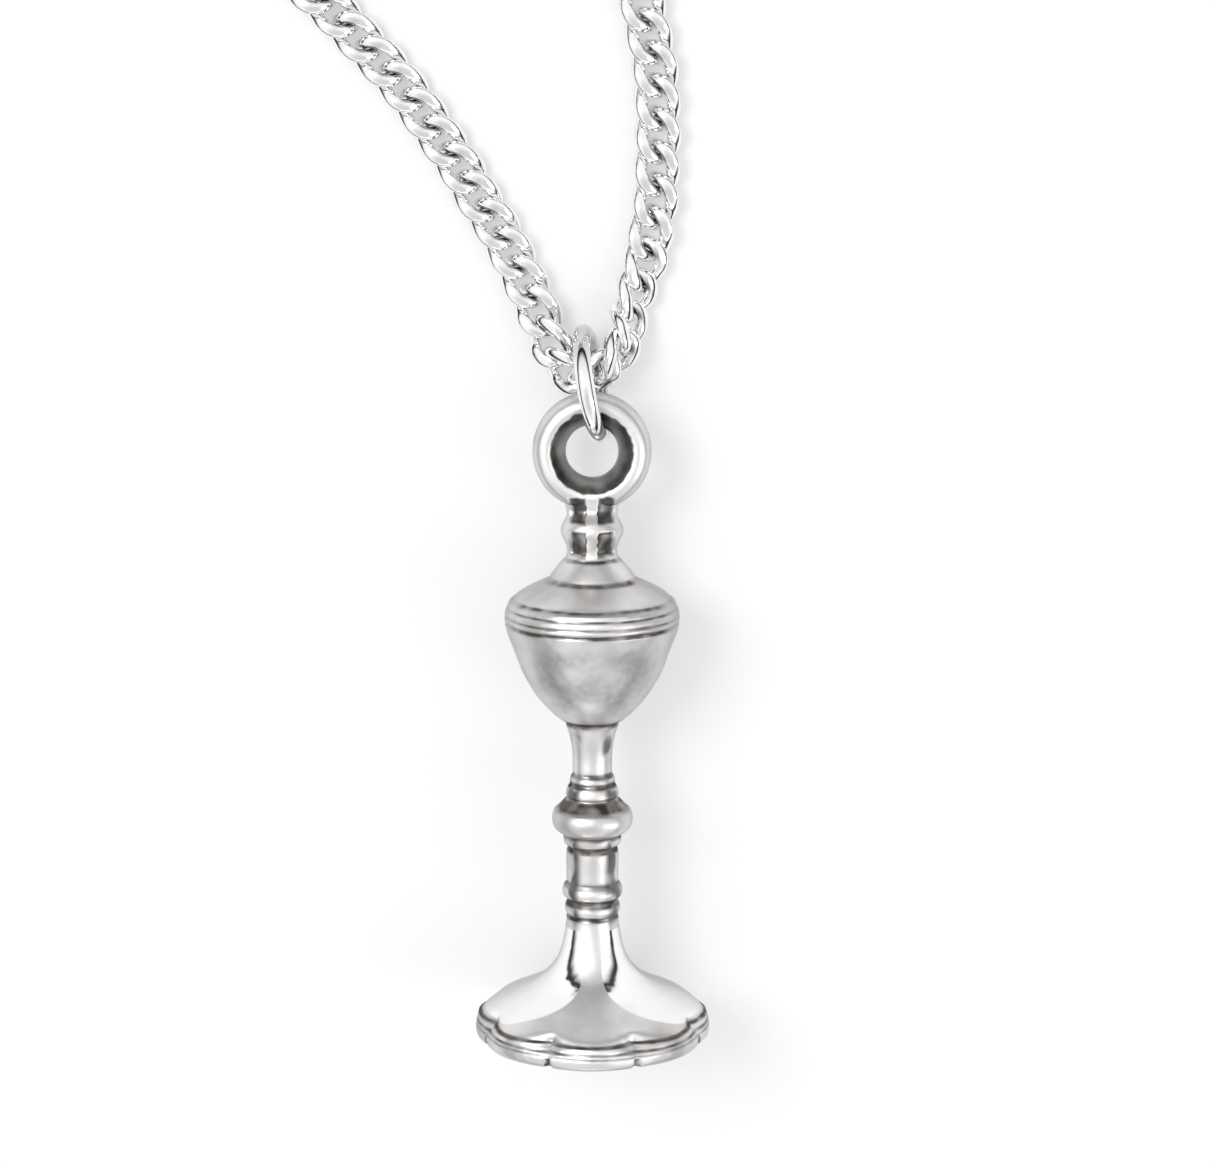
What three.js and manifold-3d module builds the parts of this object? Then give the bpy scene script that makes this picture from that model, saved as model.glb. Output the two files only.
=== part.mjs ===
// A small silver ciborium charm on a curb chain, laid out flat on a table.
// Millimetres, +Z up. Z = 0 is the table, and the charm lies along Y with its foot toward -Y.
// The origin is under the middle of the charm, its bail ring and its jump ring.
import * as THREE from 'three';
import { mergeVertices } from 'three/addons/utils/BufferGeometryUtils.js';
import Module from 'manifold-3d';

// Charm: radii and heights along its own axis, measured from the underside of the foot
const LOBES = 8;
const LOBE_REACH = 4.62;            // axis to the tip of a lobe at the foot's bottom edge
const BASE_LOBE = 3.4;              // radius of a lobe's arc at the bottom edge
const TOP_LOBE = 2.1;               // and at the top of the rim, where the lobes part deeper
const BASE_HEIGHT = 0.35;           // the bottom edge keeps its shape up to here
const RIM_HEIGHT = 0.88;            // plain edge of the foot
const LOBES_END = 1.35;             // the lobes have faded into the round dome here
const FINIAL_TOP = 20.87;
const BOWL_RADIUS = 3.37;
const BOWL_HEIGHT = 16.69;          // where the bowl is widest
const CHARM_SIDES = 48;

// Bail ring soldered on the finial
const BAIL_HEIGHT = 23.2;           // its centre along the charm's axis
const BAIL_RADIUS = 2.27;
const BAIL_HOLE = 1.0;
const BAIL_BEVEL = 1.6;             // outer edge of the bevel round the hole
const BAIL_HALF_THICKNESS = 0.75;
const BAIL_LIP = 0.18;              // half the height of the straight wall in the hole

// Jump ring through the bail ring
const JUMP_RADIUS = 1.97;           // axis to the middle of the wire
const JUMP_WIRE = 0.33;
const JUMP_AHEAD = 2.45;            // centre, beyond the bail ring's centre
const JUMP_Z = 2.32;
const JUMP_YAW = THREE.MathUtils.degToRad(10);
const JUMP_LEAN = THREE.MathUtils.degToRad(5);

// Curb link: a wire loop that is half a turn twisted at each side
const LINK_HALF_LENGTH = 0.88;      // to the middle of the wire
const LINK_HALF_WIDTH = 0.65;
const LINK_TWIST = 0.32;            // how far the wire leaves the link's own plane
const LINK_WIRE = 0.18;
const LINK_PITCH = 1.24;
const LINKS_EACH_SIDE = 5;

// Chain beyond the separate links: a flat envelope, then a coil
const CHAIN_WIDTH = 1.72;
const CHAIN_THICKNESS = 1.04;
const CHAIN_CORNER = 0.3;           // how far its corners are cut off
const COIL_INNER = 7.0;
const COIL_OUTER = 10.6;
const COIL_HEIGHT = 2.15;
const GAP = 0.3;                    // between solids that would touch
const COIL_CENTRE = [-6, 31.5];     // from the bail ring's centre; the right coil lies on the left one
const STRETCH_STEP = 2.5;           // spacing of the sections along the straight chain

// Spring-ring clasp and the rings at the chain's ends
const CASE_RADIUS = 2.35;
const CASE_TUBE = 0.65;
const CASE_BORE = 0.45;
const BOLT_RADIUS = 0.38;
const CASE_FROM = 30;               // degrees round the clasp, counted from its mouth
const CASE_TO = 330;
const BOLT_FROM = 300;
const BOLT_TO = 384;
const LEVER_AT = 322;
const LEVER_HALF_ANGLE = 4;
const LEVER_HEIGHT = 0.4;
const LEVER_PROUD = 0.6;            // how far the lever stands out of the case
const SLOT_FROM = 262;
const SLOT_HEIGHT = 0.5;
const SPRING_FROM = 60;
const SPRING_TO = 296;
const SPRING_TURNS = 9;
const SPRING_COIL = 0.3;
const SPRING_WIRE = 0.08;
const EYELET_RADIUS = 0.75;
const EYELET_WIRE = 0.2;
const EYELET_OUT = CASE_RADIUS + CASE_TUBE + EYELET_RADIUS + EYELET_WIRE + 0.05;
const EYELET_Z = EYELET_RADIUS + EYELET_WIRE;
const END_RING_RADIUS = 1.45;
const END_RING_WIRE = 0.25;
const END_RING_OUTER_Z = 0.7;       // raised so that the last link can pass under it
const END_RING_INNER_X = 2.95;      // inner side of the right end ring, from the coils' centre
const END_RING_TURN = THREE.MathUtils.degToRad(-70);
const CLASP_SHIFT = -1.2;           // clasp centre from the coils' centre, along X

// Pose on the table: the foot's lobe and the bowl both touch it
const TILT = Math.asin((LOBE_REACH - BOWL_RADIUS) / BOWL_HEIGHT);
const FOOT_Z = LOBE_REACH * Math.cos(TILT) + 0.005;
const BAIL_Y = 9.5;
const FOOT_Y = BAIL_Y - BAIL_HEIGHT * Math.cos(TILT);

// Charm outline, as [radius, height], from the middle of the foot to the top of the finial
const CHARM_OUTLINE = [
  [0, 0], [4.4, 0], [4.58, 0.09], [LOBE_REACH, BASE_HEIGHT], [4.58, 0.55], [4.45, RIM_HEIGHT],
  [4.2, 1.1], [3.75, 1.36], [3.0, 1.72], [2.3, 2.1], [1.8, 2.5], [1.45, 2.95],
  [1.24, 3.45], [1.11, 4.0], [1.03, 4.6], [0.97, 4.86], [1.07, 5.05], [1.05, 5.33],
  [0.98, 5.5], [1.16, 5.72], [1.15, 6.04], [1.0, 6.2], [1.02, 6.5], [1.01, 7.45],
  [0.96, 7.64], [1.12, 7.83], [1.13, 8.1], [1.46, 8.38], [1.57, 8.72], [1.54, 8.98],
  [1.4, 9.17], [1.17, 9.42], [0.98, 9.6], [1.02, 9.85], [0.87, 10.16], [0.78, 10.53],
  [0.77, 11.35], [0.85, 12.02], [1.02, 12.5], [0.96, 12.65], [1.2, 12.75], [1.6, 13.07],
  [2.15, 13.7], [2.68, 14.6], [3.04, 15.55], [BOWL_RADIUS, BOWL_HEIGHT], [3.2, 17.38],
  [3.02, 17.5], [2.5, 17.92], [1.75, 18.25], [1.5, 18.59], [0.95, 19.19], [0.9, 19.45],
  [1.2, 20.05], [0.9, 20.66], [0.88, FINIAL_TOP], [0, FINIAL_TOP],
];

// Middle line of the chain, from the left coil round the bottom of the V to the right coil,
// counted from the bail ring's centre in X and Y and from the table in Z
const CHAIN_Z = 0.55;
const ROUTE_LEFT = [
  [-15.3, 23.3], [-14.85, 22.1], [-14.2, 20.9], [-13.35, 19.7], [-12.35, 18.65], [-11.3, 17.75],
  [-10.4, 17.0], [-9.43, 16.06], [-8.55, 15.1],
  [-7.66, 14.16], [-6.85, 13.16], [-5.85, 11.75], [-5.0, 10.5], [-4.24, 9.18], [-3.58, 8.15],
  [-3.0, 7.03],
];
const ROUTE_MIDDLE = [
  [-2.46, 5.87, 0.6], [-2.0, 4.8, 0.75], [-1.7, 4.0, 0.95], [-0.8, 2.65, 1.4], [0.05, 2.8, 1.5],
  [0.6, 2.95, 1.65], [1.35, 4.15, 1.3], [1.35, 4.7, 0.9], [1.69, 5.79, 0.75], [2.0, 6.82, 0.6],
];
const ROUTE_RIGHT = [
  [2.23, 7.98], [2.43, 9.26], [2.46, 10.34], [2.5, 11.75], [2.46, 13.1], [2.35, 14.36],
  [2.08, 15.65], [1.81, 17.0],
];
// Where the right side climbs onto the left coil
const ROUTE_CLIMB = [
  [1.7, 18.2, 0.58], [1.75, 19.6, 1.0], [2.05, 21.2, 1.8], [2.6, 22.8, 2.7],
];
const MIDDLE_LINK_AT = 4;           // the link in the bottom of the V sits on this middle point
// How far each link is rolled on its edge, in degrees, from the last left one to the last right one
const LINK_ROLL = [0, 2, 3, 23, 32, 40, 45, 47, 40, 22, 0];

const group = new THREE.Group();
const charm = new THREE.Group();
charm.position.set(0, FOOT_Y, FOOT_Z);
charm.rotation.x = -TILT;
group.add(charm);

function silver(color, roughness) {
  return new THREE.MeshStandardMaterial({ color, roughness, metalness: 1 });
}

function antiqueSilver() {
  return silver(0xcfcac6, 0.42);
}

function brightSilver() {
  return silver(0xe6e7e9, 0.12);
}

function addMesh(parent, name, geometry, material) {
  const mesh = new THREE.Mesh(geometry, material);
  mesh.name = name;
  parent.add(mesh);
  return mesh;
}

// Lobed outline of the foot: distance from the axis in a direction, as a share of the tip's
function lobeShare(angle, lobeRadius) {
  const step = 2 * Math.PI / LOBES;
  const offTip = angle - Math.round(angle / step) * step;
  const centre = LOBE_REACH - lobeRadius;
  const along = centre * Math.cos(offTip);
  const across = centre * Math.sin(offTip);
  return (along + Math.sqrt(lobeRadius ** 2 - across ** 2)) / LOBE_REACH;
}

// The whole vessel is one turned shape, with its foot pulled in between the lobes
function addCiborium() {
  const outline = CHARM_OUTLINE.map(([r, h]) => new THREE.Vector2(r, h));
  const geometry = new THREE.LatheGeometry(outline, CHARM_SIDES);
  const position = geometry.getAttribute('position');
  for (let i = 0; i < position.count; i += 1) {
    const height = position.getY(i);
    if (height < LOBES_END) {
      const angle = Math.atan2(position.getX(i), position.getZ(i));
      const parting = THREE.MathUtils.smoothstep(height, BASE_HEIGHT, RIM_HEIGHT);
      const lobeRadius = THREE.MathUtils.lerp(BASE_LOBE, TOP_LOBE, parting);
      const fade = 1 - THREE.MathUtils.smoothstep(height, RIM_HEIGHT, LOBES_END);
      const share = 1 + fade * (lobeShare(angle, lobeRadius) - 1);
      position.setX(i, position.getX(i) * share);
      position.setZ(i, position.getZ(i) * share);
    }
  }
  addMesh(charm, 'ciborium', geometry, antiqueSilver());
}

// Thick ring with a bevel round its hole on both faces
function addBailRing() {
  const t = BAIL_HALF_THICKNESS;
  const outline = [
    [BAIL_HOLE, BAIL_LIP], [BAIL_HOLE, -BAIL_LIP], [BAIL_BEVEL, -t], [1.95, -t * 0.93],
    [2.19, -t * 0.55], [BAIL_RADIUS, 0], [2.19, t * 0.55], [1.95, t * 0.93],
    [BAIL_BEVEL, t], [BAIL_HOLE, BAIL_LIP],
  ].map(([r, h]) => new THREE.Vector2(r, h));
  const ring = addMesh(charm, 'bail_ring', new THREE.LatheGeometry(outline, 32), antiqueSilver());
  ring.position.y = BAIL_HEIGHT;
  ring.rotation.x = Math.PI / 2;
}

function addJumpRing() {
  const along = new THREE.Vector3(-Math.sin(JUMP_YAW), Math.cos(JUMP_YAW), 0);
  const up = new THREE.Vector3(-Math.cos(JUMP_YAW), -Math.sin(JUMP_YAW), 0);
  up.multiplyScalar(Math.sin(JUMP_LEAN));
  up.z = Math.cos(JUMP_LEAN);
  const normal = new THREE.Vector3().crossVectors(along, up);
  const geometry = new THREE.TorusGeometry(JUMP_RADIUS, JUMP_WIRE, 8, 32);
  const ring = addMesh(group, 'jump_ring', geometry, brightSilver());
  ring.quaternion.setFromRotationMatrix(new THREE.Matrix4().makeBasis(along, up, normal));
  ring.position.set(0, BAIL_Y + JUMP_AHEAD, JUMP_Z);
}

class CurbLoop extends THREE.Curve {
  getPoint(t, target = new THREE.Vector3()) {
    const turn = 2 * Math.PI * t;
    return target.set(
      LINK_HALF_LENGTH * Math.cos(turn),
      LINK_HALF_WIDTH * Math.sin(turn),
      -LINK_TWIST * Math.sin(2 * turn),
    );
  }
}

class FlatArc extends THREE.Curve {
  constructor(radius, fromDegrees, toDegrees) {
    super();
    this.radius = radius;
    this.from = THREE.MathUtils.degToRad(fromDegrees);
    this.to = THREE.MathUtils.degToRad(toDegrees);
  }

  getPoint(t, target = new THREE.Vector3()) {
    const turn = this.from + (this.to - this.from) * t;
    return target.set(this.radius * Math.cos(turn), this.radius * Math.sin(turn), 0);
  }
}

class CurvedSpring extends THREE.Curve {
  getPoint(t, target = new THREE.Vector3()) {
    const place = THREE.MathUtils.degToRad(SPRING_FROM + (SPRING_TO - SPRING_FROM) * t);
    const turn = 2 * Math.PI * SPRING_TURNS * t;
    const radius = CASE_RADIUS + SPRING_COIL * Math.cos(turn);
    return target.set(
      radius * Math.cos(place),
      radius * Math.sin(place),
      SPRING_COIL * Math.sin(turn),
    );
  }
}

function chainRoute() {
  const flat = ([x, y]) => [x, y, CHAIN_Z];
  const sides = [ROUTE_LEFT.map(flat), ROUTE_RIGHT.map(flat)];
  const all = [...sides[0], ...ROUTE_MIDDLE, ...sides[1], ...ROUTE_CLIMB];
  const points = all.map(([x, y, z]) => new THREE.Vector3(x, BAIL_Y + y, z));
  const route = new THREE.CatmullRomCurve3(points, false, 'catmullrom', 0.5);
  route.arcLengthDivisions = 4000;
  return route;
}

// Arc length from the route's start to the link in the bottom of the V
function middleDistance(route) {
  const spans = route.points.length - 1;
  const before = ROUTE_LEFT.length + MIDDLE_LINK_AT;
  const lengths = route.getLengths();
  return lengths[Math.round((lengths.length - 1) * before / spans)];
}

function linkName(index) {
  if (index === 0) {
    return 'link_middle';
  }
  return index < 0 ? `link_left_${-index}` : `link_right_${index}`;
}

function addLink(route, middle, index) {
  const at = (distance) => route.getPointAt(distance / route.getLength());
  const distance = middle + index * LINK_PITCH;
  const along = at(distance + LINK_PITCH / 2).sub(at(distance - LINK_PITCH / 2)).normalize();
  const across = new THREE.Vector3(0, 0, 1).cross(along).normalize();
  const roll = THREE.MathUtils.degToRad(LINK_ROLL[index + LINKS_EACH_SIDE]);
  across.applyAxisAngle(along, roll);
  const normal = new THREE.Vector3().crossVectors(along, across);
  const geometry = new THREE.TubeGeometry(new CurbLoop(), 16, LINK_WIRE, 6, true);
  const link = addMesh(group, linkName(index), geometry, brightSilver());
  link.quaternion.setFromRotationMatrix(new THREE.Matrix4().makeBasis(along, across, normal));
  link.position.copy(at(distance));
}

// Outline of the chain's envelope: shape X runs up and shape Y runs across the chain
function chainSection() {
  const up = CHAIN_THICKNESS / 2;
  const side = CHAIN_WIDTH / 2;
  const cut = CHAIN_CORNER;
  const outline = [
    [up, -side + cut], [up, side - cut], [up - cut, side], [-up + cut, side],
    [-up, side - cut], [-up, -side + cut], [-up + cut, -side], [up - cut, -side],
  ];
  return new THREE.Shape(outline.map(([x, y]) => new THREE.Vector2(x, y)));
}

// The chain between its last separate link and its coil
function addChainStretch(name, route, from, to) {
  const steps = Math.round(Math.abs(to - from) / STRETCH_STEP);
  const points = [];
  for (let i = 0; i <= steps; i += 1) {
    const distance = from + (to - from) * i / steps;
    points.push(route.getPointAt(THREE.MathUtils.clamp(distance / route.getLength(), 0, 1)));
  }
  const path = new THREE.CatmullRomCurve3(points, false, 'catmullrom', 0.5);
  const options = { steps: 2 * steps, extrudePath: path, bevelEnabled: false };
  addMesh(group, name, new THREE.ExtrudeGeometry(chainSection(), options), brightSilver());
}

function addCoil(name, lift) {
  const outline = [
    [COIL_INNER, 0], [COIL_OUTER, 0], [COIL_OUTER, COIL_HEIGHT], [COIL_INNER, COIL_HEIGHT],
    [COIL_INNER, 0],
  ].map(([r, h]) => new THREE.Vector2(r, h));
  const coil = addMesh(group, name, new THREE.LatheGeometry(outline, 40), brightSilver());
  coil.rotation.x = Math.PI / 2;
  coil.position.set(COIL_CENTRE[0], BAIL_Y + COIL_CENTRE[1], lift);
}

// Merged triangles of a geometry as a manifold solid, and back
function toSolid(wasm, geometry) {
  const bare = geometry.clone();
  bare.deleteAttribute('normal');
  bare.deleteAttribute('uv');
  const merged = mergeVertices(bare, 1e-4);
  return new wasm.Manifold(new wasm.Mesh({
    numProp: 3,
    vertProperties: new Float32Array(merged.getAttribute('position').array),
    triVerts: new Uint32Array(merged.getIndex().array),
  }));
}

function fromSolid(solid) {
  const mesh = solid.getMesh();
  const geometry = new THREE.BufferGeometry();
  geometry.setAttribute('position', new THREE.BufferAttribute(mesh.vertProperties, 3));
  geometry.setIndex(new THREE.BufferAttribute(mesh.triVerts, 1));
  geometry.computeVertexNormals();
  return geometry;
}

// Flat ring sector, centred on Z = 0
function sector(inner, outer, fromDegrees, toDegrees, thickness) {
  const from = THREE.MathUtils.degToRad(fromDegrees);
  const to = THREE.MathUtils.degToRad(toDegrees);
  const shape = new THREE.Shape();
  shape.absarc(0, 0, outer, from, to, false);
  shape.absarc(0, 0, inner, to, from, true);
  const options = { depth: thickness, bevelEnabled: false, curveSegments: 8 };
  return new THREE.ExtrudeGeometry(shape, options).translate(0, 0, -thickness / 2);
}

function roundBar(radius, path, steps, sides, bore = 0) {
  const circle = (r) => {
    const outline = [];
    for (let i = 0; i < sides; i += 1) {
      const turn = 2 * Math.PI * i / sides;
      outline.push(new THREE.Vector2(r * Math.cos(turn), r * Math.sin(turn)));
    }
    return outline;
  };
  const shape = new THREE.Shape(circle(radius));
  if (bore > 0) {
    shape.holes.push(new THREE.Path(circle(bore)));
  }
  return new THREE.ExtrudeGeometry(shape, { steps, extrudePath: path, bevelEnabled: false });
}

// Spring-ring clasp lying flat inside the coils, its eyelet toward their wall at +X
function addClasp(wasm) {
  const clasp = new THREE.Group();
  clasp.position.set(COIL_CENTRE[0] + CLASP_SHIFT, BAIL_Y + COIL_CENTRE[1], CASE_TUBE);
  clasp.rotation.z = Math.PI;
  group.add(clasp);
  const tube = roundBar(CASE_TUBE, new FlatArc(CASE_RADIUS, CASE_FROM, CASE_TO), 30, 10, CASE_BORE);
  const slotOuter = CASE_RADIUS + 2 * CASE_TUBE;
  const slot = sector(CASE_RADIUS, slotOuter, SLOT_FROM, CASE_TO + 5, SLOT_HEIGHT);
  const slotted = toSolid(wasm, tube).subtract(toSolid(wasm, slot));
  addMesh(clasp, 'clasp_case', fromSolid(slotted), brightSilver());
  const bolt = roundBar(BOLT_RADIUS, new FlatArc(CASE_RADIUS, BOLT_FROM, BOLT_TO), 10, 8);
  addMesh(clasp, 'clasp_bolt', bolt, brightSilver());
  const leverInner = CASE_RADIUS + BOLT_RADIUS + 0.02;
  const leverOuter = CASE_RADIUS + CASE_TUBE + LEVER_PROUD;
  const leverFrom = LEVER_AT - LEVER_HALF_ANGLE;
  const leverTo = LEVER_AT + LEVER_HALF_ANGLE;
  const lever = sector(leverInner, leverOuter, leverFrom, leverTo, LEVER_HEIGHT);
  addMesh(clasp, 'clasp_lever', lever, brightSilver());
  const spring = roundBar(SPRING_WIRE, new CurvedSpring(), SPRING_TURNS * 8, 4);
  addMesh(clasp, 'clasp_spring', spring, brightSilver());
  const eyeletRing = new THREE.TorusGeometry(EYELET_RADIUS, EYELET_WIRE, 6, 16);
  const eyelet = addMesh(clasp, 'clasp_eyelet', eyeletRing, brightSilver());
  eyelet.rotation.x = Math.PI / 2;
  eyelet.position.set(-EYELET_OUT, 0, EYELET_Z - CASE_TUBE);
}

// Small ring that ends the chain, inside the coils: its inner side is at innerX from their
// centre, and its outer side is where the last link holds it
function addEndRing(name, turn, innerX, innerZ) {
  const coilCentre = new THREE.Group();
  coilCentre.position.set(COIL_CENTRE[0], BAIL_Y + COIL_CENTRE[1], 0);
  coilCentre.rotation.z = turn;
  group.add(coilCentre);
  const geometry = new THREE.TorusGeometry(END_RING_RADIUS, END_RING_WIRE, 6, 24);
  const ring = addMesh(coilCentre, name, geometry, brightSilver());
  const lean = Math.asin((innerZ - END_RING_OUTER_Z) / (2 * END_RING_RADIUS));
  ring.rotation.y = lean;
  const x = innerX + END_RING_RADIUS * Math.cos(lean);
  ring.position.set(x, 0, (innerZ + END_RING_OUTER_Z) / 2 + 0.02);
}

addCiborium();
addBailRing();
addJumpRing();
const route = chainRoute();
const middle = middleDistance(route);
for (let index = -LINKS_EACH_SIDE; index <= LINKS_EACH_SIDE; index += 1) {
  addLink(route, middle, index);
}
const lastLink = LINKS_EACH_SIDE * LINK_PITCH + LINK_HALF_LENGTH + LINK_WIRE + GAP;
addChainStretch('chain_left', route, middle - lastLink, 0);
addChainStretch('chain_right', route, middle + lastLink, route.getLength());
addCoil('coil_left', 0);
addCoil('coil_right', COIL_HEIGHT + GAP);
const wasm = await Module();
wasm.setup();
addClasp(wasm);
addEndRing('connector_ring', 0, CLASP_SHIFT + EYELET_OUT, EYELET_Z);
addEndRing('end_ring', END_RING_TURN, END_RING_INNER_X, END_RING_WIRE);

export default group;
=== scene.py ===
"""Looks of the ciborium charm on its curb chain: meshes, silver materials, light and camera."""
import math

import bmesh
import bpy
import numpy as np
from mathutils import Matrix, Vector, noise


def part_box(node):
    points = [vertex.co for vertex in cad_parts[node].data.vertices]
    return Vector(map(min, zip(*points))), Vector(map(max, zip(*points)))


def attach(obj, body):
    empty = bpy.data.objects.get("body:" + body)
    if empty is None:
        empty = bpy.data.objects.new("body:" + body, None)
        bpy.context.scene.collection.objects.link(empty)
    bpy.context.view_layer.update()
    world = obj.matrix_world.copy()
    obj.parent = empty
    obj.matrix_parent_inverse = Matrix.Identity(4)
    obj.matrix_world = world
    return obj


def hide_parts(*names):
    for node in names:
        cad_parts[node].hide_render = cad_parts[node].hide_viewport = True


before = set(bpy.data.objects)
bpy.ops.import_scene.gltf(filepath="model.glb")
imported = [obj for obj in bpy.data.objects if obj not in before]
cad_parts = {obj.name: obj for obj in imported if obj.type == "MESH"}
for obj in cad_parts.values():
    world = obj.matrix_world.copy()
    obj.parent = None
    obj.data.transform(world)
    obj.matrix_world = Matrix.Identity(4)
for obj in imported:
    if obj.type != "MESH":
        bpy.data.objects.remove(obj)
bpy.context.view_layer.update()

MM = 0.001

# Charm, in mm: radii and heights along its own axis from the underside of the foot
LOBES = 8
LOBE_REACH = 4.62
BASE_LOBE = 3.4            # radius of a lobe's arc at the foot's bottom edge
TOP_LOBE = 2.1             # and at the top of the rim
BASE_HEIGHT = 0.35
RIM_HEIGHT = 0.88
LOBES_END = 1.35
BOWL_RADIUS = 3.37
BOWL_HEIGHT = 16.69
BAIL_HEIGHT = 23.2
BAIL_RADIUS = 2.27
BAIL_HOLE = 1.0
BAIL_BEVEL = 1.58
BAIL_HALF_THICKNESS = 0.75
TILT = math.asin((LOBE_REACH - BOWL_RADIUS) / BOWL_HEIGHT)

# Jump ring and chain, in mm
JUMP_RADIUS = 1.97
JUMP_WIRE = 0.34
JUMP_YAW = math.radians(10)
JUMP_LEAN = math.radians(5)
JUMP_CUT = math.radians(0.8)
JUMP_CUT_AT = math.radians(-60)
JUMP_INNER_SHADE = 0.6           # painted shade on the jump ring's inner side
JUMP_FAR_SHADE = 0.35           # and on its far side, where the chain lies in it
LINK_HALF_LENGTH = 0.88
LINK_HALF_WIDTH = 0.62
LINK_SKEW = 0.2            # how far the links slant along the chain
LINK_TWIST = 0.32
LINK_WIRE = 0.235
LINK_BROAD = 0.2           # how much wider the flattened sides of a link are than its wire
LINK_FLAT = 0.36           # beyond this far from their own middle plane the links are flattened
LINK_FLATTENING = 0.45
LINK_CREVICE_SHADE = 0.85          # painted shade in the crevices where links meet
LINK_SHADE_FROM = 0.35     # which begin this far along a link from its middle
LINK_PITCH = 1.24
LINKS_EACH_SIDE = 5
CHAIN_Z = 0.55
LINK_MESH = (48, 16)       # steps round a separate link, and sides of its wire
STRAND_LINK_MESH = (32, 12)
RING_MESH = (48, 16)
EYELET_MESH = (40, 14)

# Route of the chain, in mm from the bail ring's centre in X and Y, and from the table in Z
ROUTE_LEFT = [
    (-15.3, 23.3), (-14.85, 22.1), (-14.2, 20.9), (-13.35, 19.7), (-12.35, 18.65), (-11.3, 17.75),
    (-10.4, 17.0), (-9.43, 16.06), (-8.55, 15.1), (-7.66, 14.16), (-6.85, 13.16), (-5.85, 11.75),
    (-5.0, 10.5), (-4.24, 9.18), (-3.58, 8.15), (-3.0, 7.03),
]
ROUTE_MIDDLE = [
    (-2.46, 5.87, 0.6), (-2.0, 4.8, 0.75), (-1.7, 4.0, 0.95), (-0.8, 2.65, 1.4), (0.05, 2.8, 1.5),
    (0.6, 2.95, 1.65), (1.35, 4.15, 1.3), (1.35, 4.7, 0.9), (1.69, 5.79, 0.75), (2.0, 6.82, 0.6),
]
ROUTE_RIGHT = [
    (2.23, 7.98), (2.43, 9.26), (2.46, 10.34), (2.5, 11.75), (2.46, 13.1), (2.35, 14.36),
    (2.08, 15.65), (1.81, 17.0),
]
ROUTE_CLIMB = [(1.7, 18.2, 0.58), (1.75, 19.6, 1.0), (2.05, 21.2, 1.8), (2.6, 22.8, 2.7)]
MIDDLE_LINK_AT = 4         # the point of ROUTE_MIDDLE, counted from 0, where the middle link lies
# Degrees that each separate link is rolled about the route, from the last left one to the last right one
LINK_ROLL = [0, 2, 3, 23, 32, 40, 45, 47, 40, 22, 0]

# Coils, in mm, and in degrees that the chain has turned: turns lie beside and on each other
COIL_OUTER_TURN = 9.68
COIL_INNER_TURN = 7.92
COIL_STEP = 1.06           # from a turn up to the one on it
END_Z = 0.85               # the last link stands on its edge round its ring
COIL_SAMPLE = 3.0          # from one point of the coil to the next
COIL_ENTRY = 45            # over this the chain joins the first turn
COIL_EASE = 55.0           # over this it moves to the next turn
RING_EASE = 40             # over this it leaves the last turn for its ring
END_EASE = 45              # and over this it comes to the ring's height
END_ROLL = 60              # how far the last link is rolled on its edge
END_LINKS = 3              # links over which the chain rolls so far
LEFT_RING_SIDE = 6.7       # from the coil's centre to the last link
RIGHT_RING_SIDE = 6.15
LEFT_END_ANGLE = 0         # direction of the last link from the coil's centre
RIGHT_END_ANGLE = -70

# Spring-ring clasp, in mm and degrees round it from its mouth, as in the CAD
CASE_RADIUS = 2.35
CASE_TUBE = 0.65
CASE_WALL = 0.2
CASE_ROUNDING = 0.03
CASE_ARC = (30, 330)
SLOT_ARC = (262, 330)
SLOT_HALF_ANGLE = 24       # degrees round the tube
BOLT_RADIUS = 0.38
BOLT_ARC = (300, 384)
LEVER_AT = 322
LEVER_REACH = (2.78, 3.55) # from the clasp's middle to the lever's two ends
LEVER_RADIUS = 0.2
SPRING_ARC = (60, 296)
SPRING_TURNS = 9
SPRING_COIL = 0.3
SPRING_WIRE = 0.08

# Camera, in mm and degrees
CAMERA_TARGET = (0.609, 4.28, 3.0)
CAMERA_LEAN = math.radians(15.5)
CAMERA_DISTANCE = 110
VIEW_WIDTH = 46.8          # what the camera sees across at its target
SENSOR = 36

# Light and floor
LIGHTS = [                 # name, place and target in mm, size in mm, watts
    ("key", (-110, 90, 200), (0, 0, 0), (100, 100), 0.3),
    ("fill", (140, -30, 120), (0, 0, 0), (60, 140), 0.06),
    ("foot", (0, -170, 80), (0, -5, 0), (150, 50), 0.025),
]
GROUND = (0.03, 0.03, 0.033, 1)
SKY = (1.05, 1.05, 1.06, 1)
HORIZON = (0.18, 0.42)     # the world turns from ground to sky between these heights
DARK_CARD = (0.05, -0.4, 0.915)   # direction of a dim card above the charm
CARD_EDGE = (0.8, 0.95)    # how squarely a direction meets the card where it fades in
WHITE = (1, 1, 1, 1)
CARD = (0.72, 0.72, 0.73, 1)
FLOOR_HALF = 0.6           # in metres
FLOOR_GREY = 0.43
FLOOR_GLOW = 0.42          # lifts the shadows to the paleness of a studio floor


def centre_of(node):
    low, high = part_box(node)
    return (Vector(low) + Vector(high)) / 2 / MM


BAIL_CENTRE = centre_of("bail_ring")
AXIS = Vector((0, math.cos(TILT), -math.sin(TILT)))
FRONT = Vector((0, math.sin(TILT), math.cos(TILT)))
SIDE = Vector((1, 0, 0))
UP = Vector((0, 0, 1))
FOOT_CENTRE = BAIL_CENTRE - BAIL_HEIGHT * AXIS


# ---------------------------------------------------------------- shader nodes

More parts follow.
